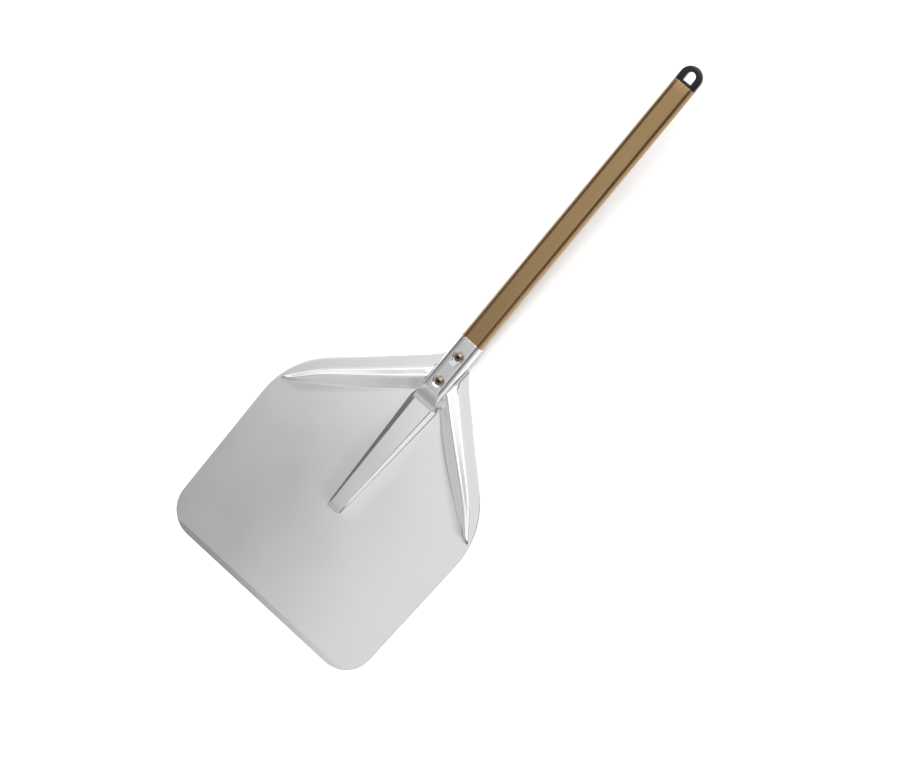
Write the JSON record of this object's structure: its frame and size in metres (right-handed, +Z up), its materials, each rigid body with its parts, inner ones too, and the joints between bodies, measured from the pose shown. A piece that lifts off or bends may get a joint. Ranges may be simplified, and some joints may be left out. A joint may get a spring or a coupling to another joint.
{
  "type": "pizza peel",
  "caption": "Pizza peel with a flat pressed metal blade, ribbed shoulders, a socket over an oval tube handle that rises a little, and an end cap with a hanging hole.",
  "frame": {"origin": "on the blade's flat underside, on the centre line, 110 mm behind the front edge", "axes": "+Y along the peel from the blade to the handle's end, +Z up out of the blade's top face, +X to the right seen from above with the handle at the top"},
  "size_m": [0.33, 0.8566, 0.0819],
  "materials": {
    "blade_aluminium": "satin",
    "handle_anodised": "satin bronze anodised",
    "cap_plastic": "gloss",
    "screw_metal": "bronze tinted",
    "nut_metal": "satin"
  },
  "bodies": {
    "root": {"blade": "blade_aluminium", "handle_tube": "handle_anodised", "end_cap": "cap_plastic", "screw_front": "screw_metal", "screw_rear": "screw_metal", "sleeve_nut_front": "nut_metal", "sleeve_nut_rear": "nut_metal"}
  },
  "joints": []
}
